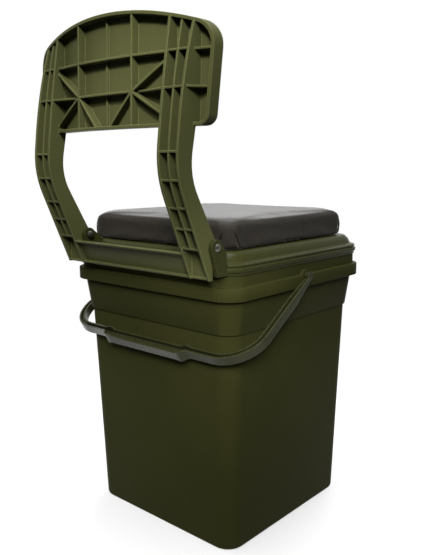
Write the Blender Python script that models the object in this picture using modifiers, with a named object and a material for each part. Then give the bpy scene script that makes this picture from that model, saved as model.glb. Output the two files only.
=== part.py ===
"""Fishing bucket seat: a square bucket with a bail, a push-on padded lid and a hinged backrest.

Metres, +Z up, the seat's front towards -Y. The origin is the middle of the bucket's underside.
"""

import math

import bmesh
import bpy
from mathutils import Matrix

# Fits
GAP = 0.0003
CORNER_STEPS = 8

# Bucket. Half widths are measured across the flats of a rounded square.
BASE_WIDTH = 0.241
BASE_CORNER = 0.022
CORNER_GROWTH = 0.28
BASE_EDGE = 0.003
WALL = 0.0025
FLOOR = 0.003
WALL_DRAFT = math.radians(1.81)
COLLAR_Z = 0.2705
COLLAR_PROUD = 0.0018
COLLAR_HEIGHT = 0.0415
COLLAR_DRAFT = math.radians(6.7)
NECK_PROUD = 0.0025
NECK_HEIGHT = 0.0125
FLANGE_PROUD = 0.0043
FLANGE_HEIGHT = 0.016
FLANGE_WALL = 0.0024
EDGE_ROUND = 0.0012
RIM_INSET = 0.0024
RIM_HEIGHT = 0.0115

# Bail
BAIL_PIVOT_DROP = 0.002
BAIL_CLEAR = 0.0118
BAIL_REST = 0.0024
BAIL_CORNER = 0.047
BAIL_SPLAY = 0.0093
BAIL_END_WIDTH = 0.0052
BAIL_WIDTH = 0.0084
BAIL_HEIGHT = 0.011
BAIL_RIM = 0.0021
BAIL_GROOVE = 0.007
BAIL_EYE_RADIUS = 0.0056
BAIL_STUD_RADIUS = 0.004
BAIL_STUD_LENGTH = 0.0042
BAIL_SIDE_GAP = 0.0006
BAIL_BOSS_RADIUS = 0.0082
GRIP_HALF_LENGTH = 0.064
GRIP_RAMP = 0.008
GRIP_SWELL = 0.006
GRIP_COLLAR = 0.0026
GRIP_DIP = 0.0016
GRIP_DROP = 0.0016

# Lid
LID_CLEAR = 0.0004
LID_WALL = 0.003
LID_PLATE = 0.003
LID_ROOF = 0.0016
BEAD = 0.0016
PLUG_WALL = 0.002
PLUG_DEPTH = 0.0075
SHOULDER_LIP = 0.0027
SHOULDER_STEP = 0.0049
SHOULDER_RISE = 0.0089
SHOULDER_RUN = 0.0052
PLATFORM_EDGE = 0.003
LID_RIB = 0.002
LID_RIB_HEIGHT = 0.009
LID_RIB_PITCH = 0.066

# Hinge
HINGE_CLEAR = 0.0014
HINGE_RISE = 0.0078
HINGE_GAP = 0.0004
KNUCKLE_RADIUS = 0.0085
EAR_THICKNESS = 0.005
EAR_RADIUS = 0.0088
EAR_REACH = 0.0152
PIN_RADIUS = 0.003
PIN_HEAD_RADIUS = 0.0044
PIN_HEAD_HEIGHT = 0.0026
CAP_RADIUS = 0.0048
CAP_HEIGHT = 0.0048
CAP_GRIP = 0.003

# Backrest legs. Heights and offsets are from the hinge axis, the inset from the seat's edge.
LEG_INSET = 0.0169
LEG_WIDTH = 0.0304
LEG_WALL = 0.003
LEG_RIB = 0.0022
LEG_RIB_DROP = 0.0012
LEG_RIB_HEIGHTS = (-0.0014, 0.0204, 0.0427, 0.0717, 0.1007)
FOOT_DROP = 0.0361
FOOT_FRONT = 0.0017
FOOT_SET = 0.0004
REAR_OFFSET = 0.0218
REAR_LEAN = math.radians(22.4)
REAR_UPPER_LEAN = math.radians(-7.2)
REAR_BEND = 0.0796
REAR_BEND_RADIUS = 0.105
FRONT_OFFSET = -0.0069
FRONT_LEAN = math.radians(28.6)
FRONT_UPPER_LEAN = math.radians(-11.3)
FRONT_BEND = 0.0776
FRONT_BEND_RADIUS = 0.065
CROSS_TOP = -0.0068
CROSS_DEPTH = 0.0085

# Backrest panel. Heights are from the hinge axis, the overhang is past the legs at the
# panel's reference height.
PANEL_OVERHANG = 0.0198
PANEL_REFERENCE = 0.1857
PANEL_TAPER = 0.069
PANEL_BOTTOM = 0.1264
PANEL_CROWN = 0.2493
PANEL_ARCH_RADIUS = 0.4295
PANEL_CORNER = 0.027
PANEL_LOW_CORNER = 0.011
PANEL_REAR = 0.0436
PANEL_CURVE = 0.482
PANEL_LEAN = 0.037
PANEL_DEPTH = 0.0129
PANEL_SKIN = 0.003
PANEL_RIM = 0.0035
PANEL_RIB = 0.0024
PANEL_RIB_DROP = 0.0005
LOW_RIB_RISE = 0.003
ROW_HIGH = 0.2014
ROW_LOW = 0.1644
SPAR_X = 0.0456
BRACE_HIGH = 0.1957
BRACE_LOW = 0.134
BRACE_FOOT_X = 0.0114

# Cushion
CUSHION_INSET = 0.0016
CUSHION_CORNER = 0.019
CUSHION_HEIGHT = 0.0332
CUSHION_CROWN = 0.0055
CUSHION_DRAW = 0.0014
CUSHION_EDGE = 0.011
COVER = 0.0015
HEM = 0.02
BOARD = 0.006
BOARD_INSET = 0.0055
PAD_RADIUS = 0.008
SCREW_SPACING = 0.14
SCREW_RADIUS = 0.002
SCREW_HEAD_RADIUS = 0.0042
SCREW_HEAD_HEIGHT = 0.0026
SCREW_BITE = 0.005

# Bucket levels
base_half = BASE_WIDTH / 2
wall_top = base_half + COLLAR_Z * math.tan(WALL_DRAFT)
collar_low = wall_top + COLLAR_PROUD
collar_high = collar_low + COLLAR_HEIGHT * math.tan(COLLAR_DRAFT)
flange_low_z = COLLAR_Z + COLLAR_HEIGHT
flange_top_z = flange_low_z + FLANGE_HEIGHT
neck_half = collar_high + NECK_PROUD
flange_half = neck_half + FLANGE_PROUD
ledge_z = flange_top_z + NECK_HEIGHT
rim_half = neck_half - RIM_INSET
rim_z = ledge_z + RIM_HEIGHT
pivot_z = flange_top_z - BAIL_PIVOT_DROP

# Lid levels
skirt_in = rim_half + LID_CLEAR
skirt_out = skirt_in + LID_WALL
bead_half = skirt_out + BEAD
skirt_z = ledge_z + GAP
roof_z = rim_z + LID_CLEAR
band_z = roof_z + LID_ROOF
shoulder_low_z = band_z + SHOULDER_LIP
shoulder_low = skirt_out - SHOULDER_STEP
shoulder_high_z = shoulder_low_z + SHOULDER_RISE
shoulder_high = shoulder_low - SHOULDER_RUN
platform_z = shoulder_high_z + PLATFORM_EDGE * 0.3
platform_half = shoulder_high - PLATFORM_EDGE
under_z = platform_z - LID_PLATE
plug_out = rim_half - WALL - LID_CLEAR
plug_in = plug_out - PLUG_WALL

# Hinge and cushion levels
hinge_y = bead_half + HINGE_CLEAR + KNUCKLE_RADIUS
hinge_z = platform_z + HINGE_RISE
leg_centre = platform_half - LEG_INSET
leg_in = leg_centre - LEG_WIDTH / 2
leg_out = leg_centre + LEG_WIDTH / 2
panel_half = leg_out + PANEL_OVERHANG
ear_in = leg_in - HINGE_GAP - EAR_THICKNESS
ear_out = leg_out + HINGE_GAP + EAR_THICKNESS
foot_y = hinge_y + FOOT_FRONT
foot_z = hinge_z - FOOT_DROP
cushion_half = platform_half - CUSHION_INSET
cushion_z = platform_z + GAP
cushion_top = cushion_z + CUSHION_HEIGHT
board_z = cushion_z + COVER + GAP
panel_z = hinge_z + PANEL_BOTTOM

OLIVE = (0.078, 0.084, 0.036)
BUCKET_OLIVE = (0.060, 0.060, 0.028)
DARK_OLIVE = (0.045, 0.046, 0.030)

for old in list(bpy.data.objects):
    bpy.data.objects.remove(old, do_unlink=True)

PARTS = bpy.data.collections.new("fishing_bucket_seat")
CUTTERS = bpy.data.collections.new("cutters")
bpy.context.scene.collection.children.link(PARTS)
bpy.context.scene.collection.children.link(CUTTERS)


def make_material(name, colour, roughness, metallic=0.0):
    material = bpy.data.materials.new(name)
    material.use_nodes = True
    shader = material.node_tree.nodes["Principled BSDF"]
    shader.inputs["Base Color"].default_value = (*colour, 1.0)
    shader.inputs["Roughness"].default_value = roughness
    shader.inputs["Metallic"].default_value = metallic
    return material


def add_object(name, bm, collection):
    """A mesh object from a bmesh, its faces turned outwards."""
    bmesh.ops.recalc_face_normals(bm, faces=bm.faces)
    mesh = bpy.data.meshes.new(name)
    bm.to_mesh(mesh)
    bm.free()
    made = bpy.data.objects.new(name, mesh)
    collection.objects.link(made)
    return made


def loft(name, rings, collection=CUTTERS):
    """A solid through rings of equal length, closed by a face at each end."""
    bm = bmesh.new()
    loops = [[bm.verts.new(point) for point in ring] for ring in rings]
    count = len(loops[0])
    for low, high in zip(loops, loops[1:]):
        for i in range(count):
            j = (i + 1) % count
            bm.faces.new((low[i], low[j], high[j], high[i]))
    bm.faces.new(loops[0])
    bm.faces.new(loops[-1])
    return add_object(name, bm, collection)


def prism(name, outline, axis, low, high, collection=CUTTERS):
    """A flat outline pulled along one axis. The outline is in the other two axes, in X, Y, Z order."""
    place = {
        "X": lambda a, b, t: (t, a, b),
        "Y": lambda a, b, t: (a, t, b),
        "Z": lambda a, b, t: (a, b, t),
    }[axis]
    rings = [[place(a, b, t) for a, b in outline] for t in (low, high)]
    return loft(name, rings, collection)


def arc(centre, radius, start, end, steps):
    """Points on an arc, angles in radians, both ends included."""
    turns = [start + (end - start) * i / steps for i in range(steps + 1)]
    return [(centre[0] + radius * math.cos(t), centre[1] + radius * math.sin(t)) for t in turns]


def circle(centre, radius, steps):
    return arc(centre, radius, 0.0, 2 * math.pi, steps)[:-1]


def rounded_square(half, corner):
    """Outline of a square of this half width with rounded corners."""
    inner = half - corner
    points = []
    for quarter, (x, y) in enumerate(((1, 1), (-1, 1), (-1, -1), (1, -1))):
        start = quarter * math.pi / 2
        points += arc((x * inner, y * inner), corner, start, start + math.pi / 2, CORNER_STEPS)
    return points


def level(half, z, inset=0.0):
    """A ring of the bucket or lid. inset is how far it lies inside the moulding's outer face."""
    corner = BASE_CORNER + CORNER_GROWTH * (half + inset - base_half) - inset
    return [(x, y, z) for x, y in rounded_square(half, corner)]


def combine(target, operation, pieces, solver="EXACT"):
    """Boolean of the target with every piece. The pieces stay in a hidden collection of their own."""
    number = len(target.modifiers) + 1
    group = bpy.data.collections.new(f"{target.name}_{operation.lower()}_{number}")
    CUTTERS.children.link(group)
    for piece in pieces:
        CUTTERS.objects.unlink(piece)
        group.objects.link(piece)
        piece.hide_render = True
        piece.display_type = "WIRE"
    modifier = target.modifiers.new(f"{operation.title()} {number}", "BOOLEAN")
    modifier.operation = operation
    modifier.operand_type = "COLLECTION"
    modifier.collection = group
    modifier.solver = solver


def set_origin(target, point):
    """Moves the origin to a point on the joint's axis and leaves the shape where it is."""
    target.data.transform(Matrix.Translation([-value for value in point]))
    target.location = point


def turned(name, profile, collection=PARTS, steps=24):
    """A solid of revolution about Z from (radius, height) points that run from top to bottom."""
    mesh = bpy.data.meshes.new(name)
    points = [(radius, 0.0, height) for radius, height in profile]
    mesh.from_pydata(points, [(i, i + 1) for i in range(len(points) - 1)], [])
    made = bpy.data.objects.new(name, mesh)
    collection.objects.link(made)
    screw = made.modifiers.new("Turn", "SCREW")
    screw.axis = "Z"
    screw.steps = steps
    screw.render_steps = steps
    screw.use_merge_vertices = True
    screw.merge_threshold = 0.00001
    return made


# Bucket: the outer face from the floor up to the rim, then the inner face down to the floor
groove_z = flange_top_z - FLANGE_WALL
groove_in = collar_high + (groove_z - flange_low_z) * math.tan(COLLAR_DRAFT)
floor_half = base_half - WALL
bucket = loft(
    "bucket_body",
    [
        level(base_half - BASE_EDGE, 0.0),
        level(base_half - BASE_EDGE * 0.3, BASE_EDGE * 0.3),
        level(base_half, BASE_EDGE),
        level(wall_top, COLLAR_Z),
        level(collar_low - COLLAR_PROUD * 0.3, COLLAR_Z + COLLAR_PROUD * 0.1),
        level(collar_low, COLLAR_Z + COLLAR_PROUD * 0.5),
        level(collar_high, flange_low_z),
        level(groove_in, groove_z),
        level(flange_half - FLANGE_WALL, groove_z, FLANGE_WALL),
        level(flange_half - FLANGE_WALL, flange_low_z + EDGE_ROUND * 0.3, FLANGE_WALL),
        level(flange_half - EDGE_ROUND, flange_low_z, EDGE_ROUND),
        level(flange_half - EDGE_ROUND * 0.3, flange_low_z + EDGE_ROUND * 0.3),
        level(flange_half, flange_low_z + EDGE_ROUND),
        level(flange_half, flange_top_z - EDGE_ROUND),
        level(flange_half - EDGE_ROUND * 0.3, flange_top_z - EDGE_ROUND * 0.3),
        level(flange_half - EDGE_ROUND, flange_top_z),
        level(neck_half, flange_top_z),
        level(neck_half, ledge_z - EDGE_ROUND * 0.5),
        level(neck_half - EDGE_ROUND * 0.5, ledge_z),
        level(rim_half, ledge_z),
        level(rim_half, rim_z - EDGE_ROUND * 0.6),
        level(rim_half - EDGE_ROUND * 0.6, rim_z),
        level(rim_half - WALL + EDGE_ROUND * 0.6, rim_z, WALL),
        level(rim_half - WALL, rim_z - EDGE_ROUND * 0.6, WALL),
        level(collar_high - WALL, flange_low_z, WALL),
        level(collar_low - WALL, COLLAR_Z + COLLAR_PROUD, WALL),
        level(wall_top - WALL, COLLAR_Z - COLLAR_PROUD, WALL),
        level(floor_half, FLOOR + BASE_EDGE, WALL),
        level(floor_half - BASE_EDGE * 0.3, FLOOR + BASE_EDGE * 0.3, WALL),
        level(floor_half - BASE_EDGE, FLOOR, WALL),
    ],
    PARTS,
)
bosses = []
sockets = []
boss_outline = [(-BAIL_BOSS_RADIUS, flange_low_z), (BAIL_BOSS_RADIUS, flange_low_z)]
boss_outline += arc((0.0, pivot_z), BAIL_BOSS_RADIUS, 0.0, math.pi, 16)
socket_radius = BAIL_STUD_RADIUS + GAP
stud_tip = flange_half + BAIL_SIDE_GAP - BAIL_STUD_LENGTH
for side in (-1, 1):
    bosses.append(prism("bail_boss", boss_outline, "X", side * (collar_high - WALL / 2), side * flange_half))
    sockets.append(
        prism(
            "bail_socket",
            circle((0.0, pivot_z), socket_radius, 24),
            "X",
            side * (stud_tip - GAP),
            side * (flange_half + WALL),
        )
    )
combine(bucket, "UNION", bosses)
combine(bucket, "DIFFERENCE", sockets)

# Bail: a channel section carried along one arm, round the corner and along the bar, then mirrored.
# The path is the strap's outer top edge, x across and v away from the pivot axis.
eye_in = flange_half + BAIL_SIDE_GAP
eye_out = eye_in + BAIL_END_WIDTH
arm_x = eye_out + BAIL_SPLAY
bail_reach = flange_half + BAIL_CLEAR + BAIL_WIDTH
bend_x = arm_x - BAIL_CORNER
bend_v = bail_reach - BAIL_CORNER
reach = math.hypot(eye_out - bend_x, bend_v)
bend_start = math.atan2(-bend_v, eye_out - bend_x) + math.acos(BAIL_CORNER / reach)


def channel(x, v, normal, width, height, groove, swell=0.0, rise=0.0):
    """The strap's section at a path point. normal is the angle of its outward side."""
    across = (
        (swell, -height),
        (-width, -height),
        (-width, rise),
        (-width + BAIL_RIM, rise),
        (-width + BAIL_RIM, -groove),
        (swell - BAIL_RIM, -groove),
        (swell - BAIL_RIM, rise),
        (swell, rise),
    )
    return [(x + a * math.cos(normal), v + a * math.sin(normal), up) for a, up in across]


def arm_section(share):
    """The strap widens from the eye to the corner."""
    x = eye_out + share * (bend_x + BAIL_CORNER * math.cos(bend_start) - eye_out)
    v = share * (bend_v + BAIL_CORNER * math.sin(bend_start))
    grow = min(1.0, 2.5 * share)
    width = BAIL_END_WIDTH + grow * (BAIL_WIDTH - BAIL_END_WIDTH)
    height = BAIL_EYE_RADIUS + grow * (BAIL_HEIGHT - BAIL_EYE_RADIUS)
    groove = BAIL_GROOVE * (0.35 + 0.65 * grow)
    return channel(x, v, bend_start, width, height, groove)


half_strap = [arm_section(share) for share in (0.0, 0.2, 0.4, 0.7)]
for i in range(11):
    normal = bend_start + (math.pi / 2 - bend_start) * i / 10
    x = bend_x + BAIL_CORNER * math.cos(normal)
    v = bend_v + BAIL_CORNER * math.sin(normal)
    half_strap.append(channel(x, v, normal, BAIL_WIDTH, BAIL_HEIGHT, BAIL_GROOVE))
# The grip is thicker and lower than the strap, with a raised collar at each end.
for ramp, thicken, rise in (
    (1.6, 0.0, 0.0),
    (1.0, 0.35, GRIP_COLLAR * 0.8),
    (0.6, 0.9, GRIP_COLLAR),
    (0.1, 1.15, GRIP_COLLAR * 0.7),
    (-0.5, 1.0, -GRIP_DIP),
):
    x = GRIP_HALF_LENGTH + ramp * GRIP_RAMP
    height = BAIL_HEIGHT + thicken * GRIP_DROP
    section = (BAIL_WIDTH, height, BAIL_GROOVE, thicken * GRIP_SWELL, rise)
    half_strap.append(channel(x, bail_reach, math.pi / 2, *section))
other_half = [[(-x, v, up) for x, v, up in ring] for ring in reversed(half_strap)]
bail = loft("bail_handle", half_strap + other_half, PARTS)
eyes = []
for side in (-1, 1):
    eyes.append(prism("bail_eye", circle((0.0, 0.0), BAIL_EYE_RADIUS, 28), "X", side * eye_in, side * eye_out))
    eyes.append(
        prism(
            "bail_stud",
            circle((0.0, 0.0), BAIL_STUD_RADIUS, 20),
            "X",
            side * stud_tip,
            side * (eye_in + BAIL_END_WIDTH / 2),
        )
    )
for eye in eyes:
    eye.parent = bail
combine(bail, "UNION", eyes)

# The bail hangs until the bar's inner lower edge comes near the drafted wall.
draft = math.tan(WALL_DRAFT)
bar_in = bail_reach - BAIL_WIDTH
along = bar_in + draft * BAIL_HEIGHT
upright = draft * bar_in - BAIL_HEIGHT
bar_rest = base_half + BAIL_REST + draft * pivot_z
bail_hang = math.atan2(upright, along) + math.acos(bar_rest / math.hypot(along, upright))
bail.location = (0.0, 0.0, pivot_z)
bail.rotation_euler = (-bail_hang, 0.0, 0.0)

# Lid: a solid with its ears and stops, hollowed from below, then ribbed and drilled
bead_step = (band_z - skirt_z) / 3
lid = loft(
    "lid",
    [
        level(skirt_out - EDGE_ROUND * 0.4, skirt_z),
        level(skirt_out, skirt_z + EDGE_ROUND * 0.4),
        level(skirt_out, skirt_z + bead_step * 0.75),
        level(bead_half - BEAD * 0.25, skirt_z + bead_step * 0.95),
        level(bead_half, skirt_z + bead_step * 1.2),
        level(bead_half, skirt_z + bead_step * 1.7),
        level(bead_half - BEAD * 0.3, skirt_z + bead_step * 1.95),
        level(skirt_out - BEAD * 0.2, skirt_z + bead_step * 2.1),
        level(skirt_out - BEAD * 0.2, skirt_z + bead_step * 2.25),
        level(skirt_out + BEAD * 0.4, skirt_z + bead_step * 2.4),
        level(skirt_out + BEAD * 0.4, skirt_z + bead_step * 2.75),
        level(skirt_out - BEAD * 0.3, band_z),
        level(shoulder_low + SHOULDER_STEP * 0.5, band_z + SHOULDER_LIP * 0.15),
        level(shoulder_low + SHOULDER_STEP * 0.1, band_z + SHOULDER_LIP * 0.5),
        level(shoulder_low, shoulder_low_z),
        level(shoulder_low - SHOULDER_RUN * 0.35, shoulder_low_z + SHOULDER_RISE * 0.55),
        level(shoulder_high, shoulder_high_z),
        level(shoulder_high - PLATFORM_EDGE * 0.45, platform_z - PLATFORM_EDGE * 0.08),
        level(platform_half, platform_z),
    ],
    PARTS,
)
hollow = loft(
    "lid_hollow",
    [
        level(skirt_in, skirt_z - LID_WALL, LID_WALL),
        level(skirt_in, roof_z, LID_WALL),
        level(plug_out, roof_z, LID_WALL),
        level(plug_out, roof_z - PLUG_DEPTH, LID_WALL),
        level(plug_in, roof_z - PLUG_DEPTH, LID_WALL),
        level(plug_in, shoulder_low_z - LID_PLATE * 0.7, LID_WALL),
        level(shoulder_high - LID_PLATE, under_z - LID_PLATE * 0.4, LID_WALL),
        level(platform_half - LID_PLATE, under_z, LID_WALL),
    ],
)
ear_low_z = skirt_z + EDGE_ROUND
ear_deep = shoulder_high - 3 * LID_PLATE
gusset_y = cushion_half + LID_PLATE
ear_outline = [(ear_deep, ear_low_z), (hinge_y - EAR_RADIUS * 0.12, ear_low_z)]
ear_outline += arc((hinge_y, hinge_z), EAR_RADIUS, math.radians(-18), math.radians(142), 14)
# The inner ears lean on the platform. The outer ones stand past its round corners, on the band.
inner_ear = ear_outline + [(gusset_y, platform_z), (ear_deep, shoulder_low_z)]
ear_front = hinge_y - EAR_REACH
outer_ear = ear_outline + [(ear_front, platform_z), (ear_front, band_z), (ear_deep, band_z)]
stop_outline = [
    (ear_deep, ear_low_z),
    (foot_y - GAP, ear_low_z),
    (foot_y - GAP, hinge_z - KNUCKLE_RADIUS * 1.6),
    (ear_deep, hinge_z - KNUCKLE_RADIUS * 1.6),
]
screw_spots = [(x * SCREW_SPACING / 2, y * SCREW_SPACING / 2) for x in (-1, 1) for y in (-1, 1)]
ears = []
bores = []
leg_bores = []
for side in (-1, 1):
    ears.append(prism("hinge_ear", inner_ear, "X", side * ear_in, side * (leg_in - HINGE_GAP)))
    ears.append(prism("hinge_ear", outer_ear, "X", side * (leg_out + HINGE_GAP), side * ear_out))
    stop_ends = (side * (leg_in + LEG_WALL), side * (leg_out - LEG_WALL))
    ears.append(prism("hinge_stop", stop_outline, "X", *stop_ends))
    for group in (bores, leg_bores):
        bore_outline = circle((hinge_y, hinge_z), PIN_RADIUS + GAP, 24)
        bore_ends = (side * (ear_in - LID_WALL), side * (ear_out + LID_WALL))
        group.append(prism("pin_bore", bore_outline, "X", *bore_ends))
pads = [
    prism("board_pad", circle(spot, PAD_RADIUS, 24), "Z", under_z + LID_RIB / 2, board_z - GAP)
    for spot in screw_spots
]
rib_reach = shoulder_high - LID_PLATE / 2
lid_ribs = []
for i in (-1.5, -0.5, 0.5, 1.5):
    low = i * LID_RIB_PITCH - LID_RIB / 2
    high = low + LID_RIB
    span = [(-rib_reach, low), (rib_reach, low), (rib_reach, high), (-rib_reach, high)]
    for outline in (span, [(y, x) for x, y in span]):
        lid_ribs.append(prism("lid_rib", outline, "Z", under_z - LID_RIB_HEIGHT, under_z + LID_RIB / 2))
screw_holes = [
    prism("screw_hole", circle(spot, SCREW_RADIUS + GAP, 20), "Z", under_z - LID_PLATE, board_z + LID_PLATE)
    for spot in screw_spots
]
combine(lid, "UNION", ears + pads)
combine(lid, "DIFFERENCE", [hollow])
combine(lid, "UNION", lid_ribs)
combine(lid, "DIFFERENCE", bores + screw_holes)


# Backrest
def bent_edge(offset, low_lean, high_lean, bend, radius):
    """An edge of the leg seen from the side, as a function that gives y at a height.

    Two straight runs meet at the bend's height, with an arc between them.
    """
    corner_y = hinge_y + offset + bend * math.tan(low_lean)
    corner_z = hinge_z + bend
    run = radius * math.tan((low_lean - high_lean) / 2)
    start_y = corner_y - run * math.sin(low_lean)
    start_z = corner_z - run * math.cos(low_lean)
    end_z = corner_z + run * math.cos(high_lean)
    centre_y = start_y - radius * math.cos(low_lean)
    centre_z = start_z + radius * math.sin(low_lean)

    def edge(z):
        if z < start_z:
            return corner_y + (z - corner_z) * math.tan(low_lean)
        if z > end_z:
            return corner_y + (z - corner_z) * math.tan(high_lean)
        return centre_y + math.sqrt(radius**2 - (z - centre_z) ** 2)

    return edge


rear_edge = bent_edge(REAR_OFFSET, REAR_LEAN, REAR_UPPER_LEAN, REAR_BEND, REAR_BEND_RADIUS)
front_edge = bent_edge(FRONT_OFFSET, FRONT_LEAN, FRONT_UPPER_LEAN, FRONT_BEND, FRONT_BEND_RADIUS)
arch_z = hinge_z + PANEL_CROWN - PANEL_ARCH_RADIUS


def between(low, high, count):
    return [low + (high - low) * i / count for i in range(count + 1)]


def panel_y(x, z, depth):
    """The panel's curved face at this depth in front of the rim's rear edge."""
    axis_y = hinge_y + PANEL_REAR - PANEL_CURVE - PANEL_LEAN * (z - hinge_z - PANEL_REFERENCE)
    return axis_y + math.sqrt((PANEL_CURVE - depth) ** 2 - x**2)


def panel_top(x):
    return arch_z + math.sqrt(PANEL_ARCH_RADIUS**2 - x**2)


def panel_outline(inset):
    """The panel seen from behind: arched top, tapering sides, rounded corners."""
    radius = PANEL_ARCH_RADIUS - inset
    corner = PANEL_CORNER - inset
    low_corner = PANEL_LOW_CORNER - inset
    stretch = math.hypot(1.0, PANEL_TAPER)
    tilt = math.atan(PANEL_TAPER)
    low_z = panel_z + inset

    def side_x(z, distance):
        reference = z - hinge_z - PANEL_REFERENCE
        return panel_half + PANEL_TAPER * reference - (distance + inset) * stretch

    # The upper corner's centre is one corner radius inside both the side and the arch.
    base_x = side_x(arch_z, corner)
    a = 1 + PANEL_TAPER**2
    b = PANEL_TAPER * base_x
    c = base_x**2 - (radius - corner) ** 2
    rise = (-b + math.sqrt(b**2 - a * c)) / a
    corner_centre = (base_x + PANEL_TAPER * rise, arch_z + rise)
    arch_end = math.atan2(rise, corner_centre[0])
    low_centre = (side_x(low_z + low_corner, low_corner), low_z + low_corner)
    right = arc(low_centre, low_corner, -math.pi / 2, -tilt, 5)
    right += arc(corner_centre, corner, -tilt, arch_end, 8)
    crown = arc((0.0, arch_z), radius, arch_end, math.pi - arch_end, 20)
    left = [(-x, z) for x, z in reversed(right)]
    return right + crown[1:-1] + left


def curved_slab(name, front, rear):
    """The space between two of the panel's curved faces, taller than the panel."""
    width = panel_half + 2 * PANEL_CORNER
    rings = []
    for z in (panel_z - PANEL_DEPTH, hinge_z + PANEL_CROWN + PANEL_DEPTH):
        outer = [(x, panel_y(x, z, rear), z) for x in between(-width, width, 26)]
        inner = [(x, panel_y(x, z, front), z) for x in between(width, -width, 26)]
        rings.append(outer + inner)
    return loft(name, rings)


def panel_rib(start, end, rise=None):
    """A rib on the back of the panel between two (x, z) points. rise is its height on the skin."""
    length = math.hypot(end[0] - start[0], end[1] - start[1])
    across = ((end[1] - start[1]) / length * PANEL_RIB / 2, (start[0] - end[0]) / length * PANEL_RIB / 2)
    rear = PANEL_RIB_DROP if rise is None else PANEL_DEPTH - PANEL_SKIN - rise
    front = PANEL_DEPTH - PANEL_SKIN / 2
    rings = []
    for share in between(0.0, 1.0, max(1, round(abs(end[0] - start[0]) / 0.02))):
        x = start[0] + share * (end[0] - start[0])
        z = start[1] + share * (end[1] - start[1])
        ring = []
        for sign, depth in ((1, front), (-1, front), (-1, rear), (1, rear)):
            edge_x = x + sign * across[0]
            edge_z = z + sign * across[1]
            ring.append((edge_x, panel_y(edge_x, edge_z, depth), edge_z))
        rings.append(ring)
    return loft("panel_rib", rings)


def leg_rear(x, z):
    """The rear edge of a leg's wall at this x, which falls to the rim up the back of the panel."""
    if z <= panel_z:
        return rear_edge(z)
    top_z = panel_top(x) - PANEL_RIM / 2
    fall = rear_edge(top_z) - panel_y(x, top_z, FOOT_SET)
    return rear_edge(z) - fall * ((z - panel_z) / (top_z - panel_z)) ** 2


def leg_wall_outline(x, low_z, drop, knuckle):
    """Side view of a wall or rib that runs up the leg and the back of the panel at this x."""
    top_z = panel_top(x) - PANEL_RIM / 2
    skin = PANEL_DEPTH - PANEL_SKIN / 2
    outline = []
    if knuckle:
        foot_angle = -math.acos(FOOT_FRONT / KNUCKLE_RADIUS)
        outline.append((foot_y, low_z))
        outline += arc((hinge_y, hinge_z), KNUCKLE_RADIUS, foot_angle, math.radians(-253), 12)
        front_z = hinge_z + KNUCKLE_RADIUS * 1.1
    else:
        front_z = low_z
    outline += [(front_edge(z) + drop, z) for z in between(front_z, panel_z + PANEL_RIM / 2, 16)]
    outline += [(panel_y(x, z, skin), z) for z in (panel_z + PANEL_RIM / 2, top_z)]
    outline += [(leg_rear(x, z) - drop, z) for z in between(top_z, panel_z, 9)]
    outline += [(rear_edge(z) - drop, z) for z in between(panel_z, low_z, 17)[1:]]
    return outline


backrest = prism("backrest", panel_outline(0.0), "Y", hinge_y - PANEL_REAR, hinge_y + 2 * PANEL_REAR, PARTS)
pocket = prism("panel_pocket", panel_outline(PANEL_RIM), "Y", hinge_y - PANEL_REAR, hinge_y + 2 * PANEL_REAR)
combine(backrest, "INTERSECT", [curved_slab("panel_slab", PANEL_DEPTH, 0.0)])
combine(pocket, "INTERSECT", [curved_slab("pocket_slab", PANEL_DEPTH - PANEL_SKIN, -PANEL_DEPTH)])
combine(backrest, "DIFFERENCE", [pocket])

ribs = []
panel_low = panel_z + PANEL_RIM / 2
row_high = hinge_z + ROW_HIGH
row_low = hinge_z + ROW_LOW
ribs.append(panel_rib((0.0, panel_low), (0.0, panel_top(0.0) - PANEL_RIM / 2), LOW_RIB_RISE))
ribs.append(panel_rib((-SPAR_X, row_low), (SPAR_X, row_low)))
row_end = panel_half - PANEL_RIM / 2
ribs.append(panel_rib((-row_end, row_high), (row_end, row_high)))
for side in (-1, 1):
    spar_x = side * SPAR_X
    wall_x = side * (leg_in + LEG_WALL / 2)
    ribs.append(panel_rib((spar_x, panel_low), (spar_x, panel_top(SPAR_X) - PANEL_RIM / 2)))
    ribs.append(panel_rib((spar_x, row_low), (wall_x, hinge_z + BRACE_HIGH)))
    ribs.append(panel_rib((spar_x, row_low), (wall_x, hinge_z + BRACE_LOW)))
    ribs.append(panel_rib((spar_x, row_low), (side * BRACE_FOOT_X, panel_low)))


def cross_rib(z, front):
    """Side view of a rib between the leg's walls, from this front to near their rear edge."""
    low, high = z - LEG_RIB / 2, z + LEG_RIB / 2
    return [
        (front, low),
        (rear_edge(low) - LEG_RIB_DROP, low),
        (rear_edge(high) - LEG_RIB_DROP, high),
        (front, high),
    ]


def row_rib(z, start, end):
    """A level rib on the back of the panel, from (x, rear edge's y) to (x, rear edge's y)."""
    skin = PANEL_DEPTH - PANEL_SKIN / 2
    outline = [
        (start[0], panel_y(start[0], z, skin)),
        start,
        end,
        (end[0], panel_y(end[0], z, skin)),
    ]
    return prism("row_rib", outline, "Z", z - LEG_RIB / 2, z + LEG_RIB / 2)


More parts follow.
